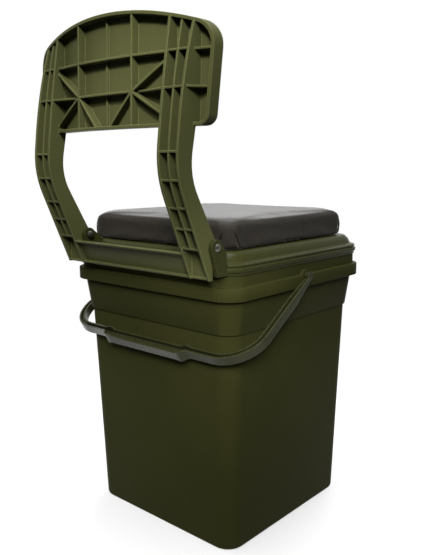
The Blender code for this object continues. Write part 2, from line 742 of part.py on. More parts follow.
legs = []
rib_low_z = hinge_z + LEG_RIB_HEIGHTS[0]
for side in (-1, 1):
    for low in (leg_in, leg_out - LEG_WALL):
        outline = leg_wall_outline(low + LEG_WALL / 2, foot_z, 0.0, True)
        legs.append(prism("leg_wall", outline, "X", side * low, side * (low + LEG_WALL)))
    outline = leg_wall_outline(leg_centre, rib_low_z, LEG_RIB_DROP, False)
    ends = (side * (leg_centre - LEG_RIB / 2), side * (leg_centre + LEG_RIB / 2))
    legs.append(prism("leg_mid_rib", outline, "X", *ends))
    inside = (side * (leg_in + LEG_WALL / 2), side * (leg_out - LEG_WALL / 2))
    front_heights = between(hinge_z + KNUCKLE_RADIUS * 0.6, panel_z + PANEL_RIM / 2, 16)
    front_run = [(front_edge(z) + FOOT_SET, z) for z in front_heights]
    legs.append(
        prism("leg_web", front_run + [(y + LEG_WALL, z) for y, z in reversed(front_run)], "X", *inside)
    )
    step_low, step_high = panel_z + FOOT_SET, panel_z + PANEL_RIM - FOOT_SET
    step_front = panel_y(leg_out, panel_z, PANEL_DEPTH - PANEL_SKIN / 2)
    step_rear = front_edge(panel_z) + LEG_WALL
    step_outline = [
        (step_front, step_high),
        (step_front, step_low),
        (step_rear, step_low),
        (step_rear, step_high),
    ]
    legs.append(prism("leg_step", step_outline, "X", *inside))
    barrel_outline = circle((hinge_y, hinge_z), KNUCKLE_RADIUS - FOOT_SET, 28)
    legs.append(prism("leg_barrel", barrel_outline, "X", *inside))
    for rise in LEG_RIB_HEIGHTS:
        z = hinge_z + rise
        rib_front = max(front_edge(z) + LEG_WALL / 2, foot_y)
        legs.append(prism("leg_cross_rib", cross_rib(z, rib_front), "X", *inside))
    for z in (row_low, row_high):
        walls = [(x, leg_rear(abs(x), z) - LEG_RIB_DROP) for x in inside]
        legs.append(row_rib(z, *walls))
    low_row_end = side * (panel_half + PANEL_TAPER * (ROW_LOW - PANEL_REFERENCE) - PANEL_RIM / 2)
    low_depth = PANEL_DEPTH - PANEL_SKIN - LOW_RIB_RISE
    for x, wall_x in ((side * SPAR_X, inside[0]), (low_row_end, inside[1])):
        wall_end = (wall_x, leg_rear(abs(wall_x), row_low) - LEG_RIB_DROP)
        legs.append(row_rib(row_low, wall_end, (x, panel_y(x, row_low, low_depth))))
    web_front = foot_y + FOOT_SET
    web_low, web_high = foot_z + FOOT_SET, hinge_z - KNUCKLE_RADIUS / 2
    foot_web = [
        (web_front, web_low),
        (web_front + LEG_WALL, web_low),
        (web_front + LEG_WALL, web_high),
        (web_front, web_high),
    ]
    legs.append(prism("foot_web", foot_web, "X", *inside))
    sole_low, sole_high = foot_z + 2 * FOOT_SET, foot_z + 2 * FOOT_SET + LEG_RIB
    sole_outline = [
        (web_front + FOOT_SET, sole_low),
        (rear_edge(sole_low) - FOOT_SET, sole_low),
        (rear_edge(sole_high) - FOOT_SET, sole_high),
        (web_front + FOOT_SET, sole_high),
    ]
    legs.append(prism("foot_sole", sole_outline, "X", *inside))

# The cross member is a channel between the legs. Its web runs parallel to their rear edge.
cross_z = hinge_z + CROSS_TOP
cross_reach = leg_in + LEG_WALL / 2
cross_low, cross_high = foot_z + 2 * FOOT_SET, cross_z - LEG_RIB


def rear_strip(low, high, front, rear):
    """Side view of a strip that lies between two distances in front of the legs' rear edge."""
    return [
        (rear_edge(low) - front, low),
        (rear_edge(low) - rear, low),
        (rear_edge(high) - rear, high),
        (rear_edge(high) - front, high),
    ]


web_rear = CROSS_DEPTH - LEG_WALL
cross_pieces = {
    "cross_web": rear_strip(cross_low + FOOT_SET, cross_z - FOOT_SET, CROSS_DEPTH, web_rear),
    "cross_upper_flange": rear_strip(cross_high, cross_z, CROSS_DEPTH - FOOT_SET, 0.0),
    "cross_lower_flange": rear_strip(cross_low, cross_low + LEG_RIB, CROSS_DEPTH - FOOT_SET, 0.0),
}
for name, outline in cross_pieces.items():
    legs.append(prism(name, outline, "X", -cross_reach, cross_reach))
combine(backrest, "UNION", ribs + legs, "MANIFOLD")
combine(backrest, "DIFFERENCE", leg_bores)
set_origin(backrest, (0.0, hinge_y, hinge_z))

# Hinge pins with domed heads outside, and the push-on caps at their inner ends
pin_length = ear_out - ear_in + 2 * GAP + CAP_GRIP
pin_profile = [
    (0.0, PIN_HEAD_HEIGHT),
    (PIN_HEAD_RADIUS * 0.5, PIN_HEAD_HEIGHT * 0.88),
    (PIN_HEAD_RADIUS * 0.85, PIN_HEAD_HEIGHT * 0.55),
    (PIN_HEAD_RADIUS, PIN_HEAD_HEIGHT * 0.2),
    (PIN_HEAD_RADIUS, 0.0),
    (PIN_RADIUS, 0.0),
    (PIN_RADIUS, EDGE_ROUND / 2 - pin_length),
    (PIN_RADIUS - EDGE_ROUND / 2, -pin_length),
    (0.0, -pin_length),
]
cap_profile = [
    (0.0, CAP_HEIGHT),
    (CAP_RADIUS * 0.5, CAP_HEIGHT * 0.93),
    (CAP_RADIUS * 0.85, CAP_HEIGHT * 0.7),
    (CAP_RADIUS, CAP_HEIGHT * 0.35),
    (CAP_RADIUS, 0.0),
    (PIN_RADIUS + GAP, 0.0),
    (PIN_RADIUS + GAP, CAP_GRIP + 2 * GAP),
    (0.0, CAP_GRIP + 2 * GAP),
]
pins = []
caps = []
for side, word in ((1, "left"), (-1, "right")):
    pin = turned(f"hinge_pin_{word}", pin_profile)
    pin.location = (side * (ear_out + GAP), hinge_y, hinge_z)
    pin.rotation_euler = (0.0, side * math.pi / 2, 0.0)
    pins.append(pin)
    cap = turned(f"hinge_cap_{word}", cap_profile)
    cap.location = (side * (ear_in - GAP), hinge_y, hinge_z)
    cap.rotation_euler = (0.0, -side * math.pi / 2, 0.0)
    caps.append(cap)


# Cushion: a soft cover over a foam block and a board
def cushion_ring(half, z, draw=0.0):
    """A ring of the cushion. Its sides are drawn in between the corners."""
    corner = CUSHION_CORNER * half / cushion_half
    inner = half - corner
    points = []
    for quarter, (x, y) in enumerate(((1, 1), (-1, 1), (-1, -1), (1, -1))):
        start = quarter * math.pi / 2
        points += arc((x * inner, y * inner), corner, start, start + math.pi / 2, 6)
        for share in (0.25, 0.5, 0.75):
            dip = half - draw * math.sin(share * math.pi)
            step = inner * (1 - 2 * share)
            if quarter % 2 == 0:
                points.append((step * x, dip * y))
            else:
                points.append((dip * x, step * y))
    return [(x, y, z) for x, y in points]


# Each row is an outer half width and height, and the way in to the cover's inner face.
crown_rows = [
    (cushion_half * share, cushion_top + CUSHION_CROWN * (1 - share**2) ** 1.2, 0.0, 1.0)
    for share in (0.12, 0.35, 0.58, 0.78)
]
edge_rows = [
    (cushion_half - CUSHION_EDGE * 0.9, cushion_top, 0.2, 0.95),
    (cushion_half - CUSHION_EDGE * 0.45, cushion_top - CUSHION_EDGE * 0.22, 0.6, 0.8),
    (cushion_half - CUSHION_EDGE * 0.12, cushion_top - CUSHION_EDGE * 0.7, 0.95, 0.3),
    (cushion_half, cushion_top - CUSHION_EDGE * 1.4, 1.0, 0.0),
    (cushion_half - CUSHION_EDGE * 0.08, cushion_z + CUSHION_EDGE * 0.8, 1.0, 0.0),
    (cushion_half - CUSHION_EDGE * 0.16, cushion_z + CUSHION_EDGE * 0.22, 0.9, -0.4),
    (cushion_half - CUSHION_EDGE * 0.34, cushion_z, 0.6, -1.0),
    (cushion_half - HEM, cushion_z, 0.0, -1.0),
]
side_draw = [0.0, 0.3, 0.8, 1.0, 1.0, 0.5, 0.2, 0.0]
cover_rows = [(row, 0.0) for row in crown_rows]
cover_rows += [(row, CUSHION_DRAW * draw) for row, draw in zip(edge_rows, side_draw)]
outer_rings = [cushion_ring(half, z, draw) for (half, z, inward, down), draw in cover_rows]
inner_rings = [
    cushion_ring(half - COVER * inward, z - COVER * down, draw)
    for (half, z, inward, down), draw in reversed(cover_rows)
]
cover = loft("cushion_cover", outer_rings + inner_rings, PARTS)

foam_z = board_z + BOARD + GAP
under_cover = COVER + GAP
foam_rings = [
    cushion_ring(half - under_cover * inward, z - under_cover * down, draw)
    for (half, z, inward, down), draw in cover_rows
    if z > foam_z + CUSHION_EDGE * 0.3
]
foam_rings.append(cushion_ring(cushion_half - CUSHION_EDGE * 0.08 - under_cover - CUSHION_DRAW, foam_z))
foam = loft("cushion_foam", foam_rings, PARTS)

board_half = cushion_half - BOARD_INSET
board = prism(
    "cushion_board",
    rounded_square(board_half, CUSHION_CORNER),
    "Z",
    board_z,
    board_z + BOARD,
    PARTS,
)
pilot_holes = [
    prism("pilot_hole", circle(spot, SCREW_RADIUS + GAP, 20), "Z", board_z - BOARD, board_z + SCREW_BITE + GAP)
    for spot in screw_spots
]
combine(board, "DIFFERENCE", pilot_holes)

screw_top = board_z + SCREW_BITE
screw_seat = under_z - GAP
screw_profile = [
    (0.0, screw_top),
    (SCREW_RADIUS * 0.5, screw_top),
    (SCREW_RADIUS, screw_top - SCREW_RADIUS),
    (SCREW_RADIUS, screw_seat),
    (SCREW_HEAD_RADIUS, screw_seat),
    (SCREW_HEAD_RADIUS, screw_seat - SCREW_HEAD_HEIGHT * 0.5),
    (SCREW_HEAD_RADIUS * 0.6, screw_seat - SCREW_HEAD_HEIGHT),
    (0.0, screw_seat - SCREW_HEAD_HEIGHT),
]
screws = []
for number, (x, y) in enumerate(screw_spots, 1):
    screw = turned(f"cushion_screw_{number}", screw_profile, steps=16)
    screw.location = (x, y, 0.0)
    screws.append(screw)

# Materials
bucket.data.materials.append(make_material("bucket_plastic", BUCKET_OLIVE, 0.5))
bail.data.materials.append(make_material("bail_plastic", DARK_OLIVE, 0.45))
lid.data.materials.append(make_material("lid_plastic", OLIVE, 0.5))
backrest.data.materials.append(make_material("backrest_plastic", OLIVE, 0.48))
cover.data.materials.append(make_material("cover_fabric", (0.045, 0.042, 0.042), 0.75))
foam.data.materials.append(make_material("foam", (0.55, 0.50, 0.36), 0.9))
board.data.materials.append(make_material("board", (0.36, 0.24, 0.13), 0.7))
pin_steel = make_material("pin_steel", (0.55, 0.55, 0.53), 0.3, 1.0)
screw_steel = make_material("screw_steel", (0.45, 0.45, 0.44), 0.35, 1.0)
for piece in pins + caps:
    piece.data.materials.append(pin_steel)
for piece in screws:
    piece.data.materials.append(screw_steel)
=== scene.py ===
"""Looks for the fishing bucket seat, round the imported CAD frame.

Materials, cushion, floor, light and the photograph's camera.
"""

import math

import bmesh
import bpy
import numpy as np
from mathutils import Matrix, Vector


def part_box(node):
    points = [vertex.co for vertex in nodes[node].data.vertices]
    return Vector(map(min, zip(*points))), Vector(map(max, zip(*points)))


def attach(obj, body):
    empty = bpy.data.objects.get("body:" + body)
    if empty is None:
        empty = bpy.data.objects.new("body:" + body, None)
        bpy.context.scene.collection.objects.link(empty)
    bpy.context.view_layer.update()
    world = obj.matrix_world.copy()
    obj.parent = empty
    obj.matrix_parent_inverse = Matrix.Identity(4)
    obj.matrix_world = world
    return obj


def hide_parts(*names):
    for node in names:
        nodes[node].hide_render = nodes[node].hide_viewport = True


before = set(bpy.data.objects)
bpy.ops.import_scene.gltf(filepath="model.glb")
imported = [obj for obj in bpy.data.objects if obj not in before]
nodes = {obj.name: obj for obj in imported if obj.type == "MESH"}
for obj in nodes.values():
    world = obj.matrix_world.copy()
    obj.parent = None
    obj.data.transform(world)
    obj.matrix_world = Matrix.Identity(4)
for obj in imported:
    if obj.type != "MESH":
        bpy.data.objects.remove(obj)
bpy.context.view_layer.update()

# Colours, linear
BUCKET_OLIVE = (0.0275, 0.0285, 0.0085)
LID_OLIVE = (0.0245, 0.0258, 0.0078)
# The backrest's olive is painted more than twice as light as the bucket's: painted light on the backrest
BACK_OLIVE_PAINTED_LIGHTER = (0.060, 0.063, 0.0235)
BAIL_OLIVE = (0.020, 0.0213, 0.0078)
CHARCOAL = (0.024, 0.021, 0.017)
STEEL = (0.24, 0.24, 0.20)
PLATED = (0.50, 0.49, 0.46)
BOARD_TAN = (0.36, 0.24, 0.13)
WHITE = (1.0, 1.0, 1.0, 1.0)

# Photograph's camera
IMAGE_LONG_SIDE = 555
FOCAL_PIXELS = 656.8
CENTRE_DROP_PIXELS = 6.2
CAMERA_AZIMUTH = math.radians(221.71)
CAMERA_ELEVATION = math.radians(9.30)
CAMERA_ROLL = math.radians(-0.34)
CAMERA_PLACE = Vector((-0.5891, 0.6692, 0.4627))

# Floor and room
FLOOR_RADIUS = 0.75
FLOOR_SIDES = 96
FLOOR_DARK = (0.59, 0.59, 0.59)
FLOOR_LIGHT = (0.63, 0.63, 0.63)
FLOOR_GLOW = 0.4
FLOOR_BOUNCE = (0.08, 0.08, 0.08, 1.0)
ROOM_LIGHT = 0.035
FRONT_DIRECTION = (-0.67, 0.74, 0.0)
FRONT_FADE = (-0.65, -0.15)
FRONT_DIM = 0.15

# Lamps
CRISP = math.radians(22)
SOFT = math.radians(40)
BOX_SPREAD = math.radians(34)
SUN_DISTANCE = 3.0
OBJECT_MIDDLE = (0.0, 0.0, 0.3)
NEAR_CORNER = (-0.10, 0.10, 0.28)
PANEL_MIDDLE = (-0.03, 0.20, 0.57)

# Mouldings
# Edges of the mouldings are painted lighter and greyer: part wear, part painted highlight
EDGE_WEAR_AND_HIGHLIGHT_GREY = 0.015
EDGE_ROUND = 0.0007
RIB_EDGE_ROUND = 0.0012
EDGE_COSINES = (0.72, 0.985)
WEAR_AND_HIGHLIGHT_SHARE = (0.35, 1.0)
SCUFF_STRETCH = (40.0, 40.0, 420.0)
SPECK_NOISE = (0.45, 0.75)
SPECK_SHARE = (0.0, 0.16)
SPECK_SHADE = 1.35
SPECK_RELIEF = 0.6
PLASTIC_GRAIN = 0.05
SMOOTH_ANGLE = math.radians(32)
WELD_DISTANCE = 2e-6

# Steel and board
STAIN_NOISE = (0.35, 0.7)
STEEL_GRAIN = 0.08
FIBRE_STRETCH = (60.0, 420.0, 420.0)
FLECK_NOISE = (0.5, 0.75)
FLECK_SHARE = (0.0, 0.5)
FLECK_SHADE = 0.45
BOARD_GRAIN = 0.3

# Noise and relief
FULL = (0.0, 1.0)
MID_NOISE = (0.3, 0.7)
GRAIN_DEPTH = 0.0004
STEEL_DEPTH = 0.0002

# Cloth
WEAVE_PITCH = 0.0011
WEAVE_TURN = 0.35
WEAVE_RIB = 0.3
FACE_UP = 0.7
FACE_SIDE = 0.6
LEAN_RANGE = (0.75, 0.98)
SIDE_TO_TOP_ROUGHNESS = (0.62, 0.19)
RUB_ROUGHNESS = (0.0, 0.04)
DYE_NOISE = (0.32, 0.68)
THREAD_HEIGHT = (0.0, 0.9)
THREAD_SHARE = (0.0, 0.5)
# The weave's gaps are painted darker: painted shade between the threads
THREAD_GAP_PAINTED_SHADE = 0.72
DUST_NOISE = (0.5, 0.8)
DUST_SHARE = (0.0, 0.22)
DUST_SHADE = 2.2
DUST_RELIEF = 0.35
CLOTH_GRAIN = 0.06

# Cushion before it swells
CUSHION_CORNER = 0.019
CUSHION_EDGE = 0.0075
EDGE_DROP = 1.15
EDGE_STEPS = 6
CUSHION_CROWN = 0.0034
CROWN_POWER = 1.2
CUSHION_DRAW = 0.0016
CORNER_PULL = 0.008
FOOT_PULL = 0.003
FOOT_SHARE = 0.45
FOOT_STEPS = 4
TOP_SHARES = (0.05, 0.2, 0.35, 0.5, 0.65, 0.8)
SIDE_SHARES = (0.25, 0.5, 0.75)
UNDER_SHARES = (0.7, 0.4, 0.1)
START_INSET = 0.0012
TOP_ROOM = 0.0008
FOOT_GAP = 0.0001

# Cushion's swell
VOXEL = 0.0042
SWELL_CAP = 0.0018
CLOTH_FRAMES = 20
HELD_HEIGHT = 0.0015
LEAST_MOVE = 1e-9

# Folds at the cushion's corners
FOLD_CUTS = 2
FOLD_REACH = 0.036
FOLD_HEIGHT = 0.026
FOLD_FAR = 0.022
FOLD_NEAR = 0.016
FOLD_FOOT = 0.0005
PLEAT_TOP_HALF = 0.0064
PLEAT_FOOT_HALF = 0.0118
PLEAT_LOW = 0.004
PLEAT_HIGH = 0.0215
PLEAT_FADE = 0.008
SLIT_HALF = 0.0019
SLIT_DEPTH = 0.0036
FLAP_RISE = 0.0005
FLAP_SOFT = 0.0015


# Node helpers
def add_node(tree, kind, **values):
    """A shader node with its sockets or properties set by name."""
    node = tree.nodes.new(kind)
    for name, value in values.items():
        if name in node.inputs:
            node.inputs[name].default_value = value
        else:
            setattr(node, name, value)
    return node


def maths(tree, operation, first, second=None):
    """A Math node's result, from sockets or numbers."""
    node = tree.nodes.new("ShaderNodeMath")
    node.operation = operation
    for socket, value in zip(node.inputs, (first, second)):
        if value is None:
            continue
        if isinstance(value, (int, float)):
            socket.default_value = value
        else:
            tree.links.new(value, socket)
    return node.outputs[0]


def new_material(name):
    """An empty node material and its shader."""
    material = bpy.data.materials.new(name)
    material.use_nodes = True
    tree = material.node_tree
    return material, tree, tree.nodes["Principled BSDF"]


def object_space(tree):
    """The place on the object, in metres."""
    return add_node(tree, "ShaderNodeTexCoord").outputs["Object"]


def stretched(tree, place, scale):
    """A place scaled by a different amount along each axis."""
    node = add_node(tree, "ShaderNodeMapping", Scale=scale)
    tree.links.new(place, node.inputs["Vector"])
    return node.outputs[0]


def noise(tree, place, scale, detail=2.0, roughness=0.5):
    """A noise texture's value, in features per unit of the place."""
    node = add_node(tree, "ShaderNodeTexNoise", Scale=scale, Detail=detail, Roughness=roughness)
    tree.links.new(place, node.inputs["Vector"])
    return node.outputs[0]


def scaled(tree, value, source, result):
    """A value mapped from one range to another and held inside it."""
    node = add_node(tree, "ShaderNodeMapRange")
    for socket, number in zip(node.inputs[1:5], (*source, *result)):
        socket.default_value = number
    tree.links.new(value, node.inputs[0])
    return node.outputs[0]


def around(value, below, above):
    """A range round a value."""
    return (value - below, value + above)


def mixed(tree, share, first, second):
    """A colour between two colours or sockets."""
    node = tree.nodes.new("ShaderNodeMix")
    node.data_type = "RGBA"
    tree.links.new(share, node.inputs[0])
    for socket, value in zip((node.inputs[6], node.inputs[7]), (first, second)):
        if isinstance(value, tuple):
            socket.default_value = (*value, 1.0)
        else:
            tree.links.new(value, socket)
    return node.outputs[2]


def shade(colour, factor):
    """A lighter or darker colour."""
    return tuple(min(1.0, part * factor) for part in colour)


def varied(tree, share, colour, dark, light):
    """A colour that drifts between a darker and a lighter shade of itself."""
    return mixed(tree, share, shade(colour, dark), shade(colour, light))


def chosen(tree, share, first, second):
    """A number between two numbers."""
    node = add_node(tree, "ShaderNodeMix")
    for socket, value in zip((node.inputs[0], node.inputs[2], node.inputs[3]), (share, first, second)):
        tree.links.new(value, socket)
    return node.outputs[0]


def mix_shaders(tree, share, first, second):
    """A shader between two shaders, by a number or a socket."""
    node = add_node(tree, "ShaderNodeMixShader")
    if isinstance(share, float):
        node.inputs[0].default_value = share
    else:
        tree.links.new(share, node.inputs[0])
    tree.links.new(first, node.inputs[1])
    tree.links.new(second, node.inputs[2])
    return node.outputs[0]


def add_bump(tree, shader, height, strength, depth, normal=None):
    """Fine relief on a shader, over another normal where one is given."""
    bump = add_node(tree, "ShaderNodeBump", Strength=strength, Distance=depth)
    tree.links.new(height, bump.inputs["Height"])
    if normal is not None:
        tree.links.new(normal, bump.inputs["Normal"])
    tree.links.new(bump.outputs[0], shader.inputs["Normal"])


# Materials
def moulded_plastic(name, colour, roughness, specular, edge_wear_and_highlight, edge_round=EDGE_ROUND):
    """Injection moulded plastic: fine grain, cloudy colour, scuffs, and edges painted lighter, part wear,
    part painted highlight.
    """
    material, tree, shader = new_material(name)
    place = object_space(tree)
    cloud = noise(tree, place, scale=9.0, detail=3.0)
    speck = noise(tree, place, scale=420.0, detail=2.0)
    grit = noise(tree, place, scale=1500.0, detail=1.0)
    drawn = stretched(tree, place, SCUFF_STRETCH)
    scuff = noise(tree, drawn, scale=1.0, detail=4.0, roughness=0.65)

    rounded = add_node(tree, "ShaderNodeBevel", samples=6, Radius=edge_round)
    surface = add_node(tree, "ShaderNodeNewGeometry")
    facing = add_node(tree, "ShaderNodeVectorMath", operation="DOT_PRODUCT")
    tree.links.new(rounded.outputs[0], facing.inputs[0])
    tree.links.new(surface.outputs["True Normal"], facing.inputs[1])
    edge = scaled(tree, facing.outputs["Value"], EDGE_COSINES, (1.0, 0.0))
    # Rounded edges, scuffed in places, are painted lighter: part wear, part painted highlight
    wear_and_highlight = maths(tree, "MULTIPLY", edge, scaled(tree, scuff, MID_NOISE, WEAR_AND_HIGHLIGHT_SHARE))

    clouded = varied(tree, scaled(tree, cloud, MID_NOISE, FULL), colour, dark=0.93, light=1.07)
    specks = scaled(tree, speck, SPECK_NOISE, SPECK_SHARE)
    specked = mixed(tree, specks, clouded, shade(colour, SPECK_SHADE))
    # The edge colour: a lighter, greyer olive that is painted highlight as much as wear
    pale = tuple(part * edge_wear_and_highlight + EDGE_WEAR_AND_HIGHLIGHT_GREY for part in colour)
    tree.links.new(mixed(tree, wear_and_highlight, specked, pale), shader.inputs["Base Color"])

    dull = scaled(tree, scuff, MID_NOISE, around(roughness, below=0.06, above=0.07))
    tree.links.new(dull, shader.inputs["Roughness"])
    shader.inputs["Specular IOR Level"].default_value = specular
    height = maths(tree, "ADD", grit, maths(tree, "MULTIPLY", speck, SPECK_RELIEF))
    add_bump(tree, shader, height, PLASTIC_GRAIN, GRAIN_DEPTH, rounded.outputs[0])
    return material


def weave_height(tree, first, second):
    """Plain weave: threads of two directions that pass over each other in turn."""
    across = maths(tree, "SINE", maths(tree, "MULTIPLY", first, math.pi / WEAVE_PITCH))
    along = maths(tree, "SINE", maths(tree, "MULTIPLY", second, math.pi / WEAVE_PITCH))
    turn = maths(tree, "MULTIPLY", across, along)
    rib = maths(tree, "ADD", maths(tree, "ABSOLUTE", across), maths(tree, "ABSOLUTE", along))
    crossing = maths(tree, "MULTIPLY", turn, WEAVE_TURN)
    ribbed = maths(tree, "MULTIPLY", rib, WEAVE_RIB)
    return maths(tree, "ADD", crossing, ribbed)


def woven_cover(name, colour):
    """Coated polyester cloth: a fine weave on each face with painted shade in its gaps, uneven dye, dust
    and a soft sheen.
    """
    material, tree, shader = new_material(name)
    place = object_space(tree)
    split = add_node(tree, "ShaderNodeSeparateXYZ")
    tree.links.new(place, split.inputs[0])
    x, y, z = split.outputs
    surface = add_node(tree, "ShaderNodeNewGeometry")
    lean = add_node(tree, "ShaderNodeSeparateXYZ")
    tree.links.new(surface.outputs["True Normal"], lean.inputs[0])
    level = maths(tree, "ABSOLUTE", lean.outputs[2])
    upward = maths(tree, "GREATER_THAN", level, FACE_UP)
    sideways = maths(tree, "GREATER_THAN", maths(tree, "ABSOLUTE", lean.outputs[0]), FACE_SIDE)
    upright = chosen(tree, sideways, weave_height(tree, x, z), weave_height(tree, y, z))
    weave = chosen(tree, upward, upright, weave_height(tree, x, y))

    cloud = noise(tree, place, scale=24.0, detail=4.0, roughness=0.6)
    dust = noise(tree, place, scale=260.0, detail=3.0, roughness=0.7)
    dyed = varied(tree, scaled(tree, cloud, DYE_NOISE, FULL), colour, dark=0.88, light=1.12)
    raised = scaled(tree, weave, THREAD_HEIGHT, THREAD_SHARE)
    # Low places of the weave are painted darker: painted shade between the threads
    threads = mixed(tree, raised, shade(colour, THREAD_GAP_PAINTED_SHADE), dyed)
    dusty = mixed(tree, scaled(tree, dust, DUST_NOISE, DUST_SHARE), threads, shade(colour, DUST_SHADE))
    tree.links.new(dusty, shader.inputs["Base Color"])
    polish = scaled(tree, level, LEAN_RANGE, SIDE_TO_TOP_ROUGHNESS)
    rubbed = maths(tree, "ADD", polish, scaled(tree, cloud, MID_NOISE, RUB_ROUGHNESS))
    tree.links.new(rubbed, shader.inputs["Roughness"])
    shader.inputs["Specular IOR Level"].default_value = 0.22
    shader.inputs["Sheen Weight"].default_value = 0.6
    shader.inputs["Sheen Roughness"].default_value = 0.2
    height = maths(tree, "ADD", weave, maths(tree, "MULTIPLY", dust, DUST_RELIEF))
    add_bump(tree, shader, height, CLOTH_GRAIN, GRAIN_DEPTH)
    return material


def turned_steel(name, colour, roughness):
    """Turned steel: small stains and a fine grit."""
    material, tree, shader = new_material(name)
    place = object_space(tree)
    stain = noise(tree, place, scale=380.0, detail=4.0, roughness=0.6)
    grit = noise(tree, place, scale=2600.0, detail=2.0)
    tint = varied(tree, scaled(tree, stain, STAIN_NOISE, FULL), colour, dark=0.8, light=1.05)
    tree.links.new(tint, shader.inputs["Base Color"])
    dull = scaled(tree, stain, MID_NOISE, around(roughness, below=0.06, above=0.12))
    tree.links.new(dull, shader.inputs["Roughness"])
    shader.inputs["Metallic"].default_value = 1.0
    add_bump(tree, shader, grit, STEEL_GRAIN, STEEL_DEPTH)
    return material


def pressed_board(name, colour):
    """Pressed wood board: short fibres and darker flecks."""
    material, tree, shader = new_material(name)
    place = object_space(tree)
    drawn = stretched(tree, place, FIBRE_STRETCH)
    fibre = noise(tree, drawn, scale=1.0, detail=5.0, roughness=0.6)
    fleck = noise(tree, place, scale=240.0, detail=3.0)
    wood = varied(tree, scaled(tree, fibre, MID_NOISE, FULL), colour, dark=0.7, light=1.15)
    flecks = scaled(tree, fleck, FLECK_NOISE, FLECK_SHARE)
    flecked = mixed(tree, flecks, wood, shade(colour, FLECK_SHADE))
    tree.links.new(flecked, shader.inputs["Base Color"])
    shader.inputs["Roughness"].default_value = 0.8
    add_bump(tree, shader, fibre, BOARD_GRAIN, GRAIN_DEPTH)
    return material


# Each edge factor paints the moulding's edges lighter: part wear, part painted highlight
bucket_plastic = moulded_plastic(
    "bucket_satin", BUCKET_OLIVE, roughness=0.42, specular=0.008, edge_wear_and_highlight=1.6
)
lid_plastic = moulded_plastic(
    "lid_satin", LID_OLIVE, roughness=0.28, specular=0.08, edge_wear_and_highlight=2.4
)
# The backrest's lighter colour is painted light on it
back_plastic = moulded_plastic(
    "backrest_satin", BACK_OLIVE_PAINTED_LIGHTER, roughness=0.40, specular=0.05, edge_wear_and_highlight=3.2, edge_round=RIB_EDGE_ROUND
)
bail_plastic = moulded_plastic(
    "bail_satin", BAIL_OLIVE, roughness=0.26, specular=0.20, edge_wear_and_highlight=4.5
)
cover_cloth = woven_cover("cushion_cloth", CHARCOAL)
pin_steel = turned_steel("pin_bright_steel", STEEL, roughness=0.46)
plated_steel = turned_steel("screw_plated_steel", PLATED, roughness=0.34)
wood_board = pressed_board("cushion_wood_board", BOARD_TAN)


# Finishes on the pieces; the rigid ones keep their CAD shape, welded and smoothed for shading
def coat(piece, material):
    """One material all over, shaded smooth."""
    piece.data.materials.clear()
    piece.data.materials.append(material)
    piece.data.polygons.foreach_set("use_smooth", [True] * len(piece.data.polygons))


def dress(name, material):
    """Gives a CAD node its finish, and smooth shading where its faces meet at a small angle."""
    piece = nodes[name]
    if "custom_normal" in piece.data.attributes:
        piece.data.attributes.remove(piece.data.attributes["custom_normal"])
    coat(piece, material)
    weld = piece.modifiers.new("weld", "WELD")
    weld.merge_threshold = WELD_DISTANCE
    split = piece.modifiers.new("sharp_edges", "EDGE_SPLIT")
    split.split_angle = SMOOTH_ANGLE


dress("bucket_body", bucket_plastic)
dress("lid", lid_plastic)
dress("backrest", back_plastic)
dress("bail_handle", bail_plastic)
dress("cushion_board", wood_board)
for name in nodes:
    if name.startswith("hinge_"):
        dress(name, pin_steel)
    if name.startswith("cushion_screw"):
        dress(name, plated_steel)


# Cushion
def mesh_object(name, form):
    """A new object in the scene, with the mesh that was built."""
    mesh = bpy.data.meshes.new(name)
    form.to_mesh(mesh)
    form.free()
    piece = bpy.data.objects.new(name, mesh)
    bpy.context.scene.collection.objects.link(piece)
    return piece


def rounded_ring(half, corner, draw, pull, z, corner_steps=10, side_steps=12):
    """Points of a square ring, its sides drawn in a little and its round corners pulled in."""
    inner = half - corner
    ring = []
    for quarter in range(4):
        start = quarter * math.pi / 2
        middle = Vector((inner, inner)) if quarter % 2 == 0 else Vector((-inner, inner))
        if quarter >= 2:
            middle = -middle
        for step in range(corner_steps + 1):
            angle = start + math.pi / 2 * step / corner_steps
            reach = corner - pull * math.sin(math.pi * step / corner_steps)
            ring.append((middle.x + reach * math.cos(angle), middle.y + reach * math.sin(angle), z))
        outward = Vector((math.cos(start + math.pi / 2), math.sin(start + math.pi / 2)))
        onward = Vector((-outward.y, outward.x))
        for step in range(1, side_steps):
            share = step / side_steps
            dip = half - draw * math.sin(share * math.pi)
            spot = outward * dip + onward * (2 * share - 1) * inner
            ring.append((spot.x, spot.y, z))
    return ring


def cushion_rows(half, low, top):
    """The cushion's rows from its top's middle to its underside's: half width, corner, draw and height."""
    rows = []
    for share in TOP_SHARES:
        reach = (half - CUSHION_EDGE) * share
        rise = CUSHION_CROWN * (1 - share**2) ** CROWN_POWER
        rows.append((reach, CUSHION_CORNER * reach / half, 0.0, top + rise))
    for step in range(EDGE_STEPS + 1):
        angle = math.pi / 2 * step / EDGE_STEPS
        reach = half - CUSHION_EDGE * (1 - math.sin(angle))
        drop = CUSHION_EDGE * (1 - math.cos(angle)) * EDGE_DROP
        rows.append((reach, CUSHION_CORNER * reach / half, CUSHION_DRAW * math.sin(angle), top - drop))
    side_top = top - CUSHION_EDGE * EDGE_DROP
    foot = CUSHION_EDGE * FOOT_SHARE
    for share in SIDE_SHARES:
        rows.append((half, CUSHION_CORNER, CUSHION_DRAW, side_top + (low + foot - side_top) * share))
    for step in range(FOOT_STEPS + 1):
        angle = math.pi / 2 * step / FOOT_STEPS
        reach = half - foot * (1 - math.cos(angle))
        height = low + foot * (1 - math.sin(angle))
        rows.append((reach, CUSHION_CORNER, CUSHION_DRAW * math.cos(angle), height))
    for share in UNDER_SHARES:
        rows.append((half * share, CUSHION_CORNER * share, 0.0, low))
    return rows


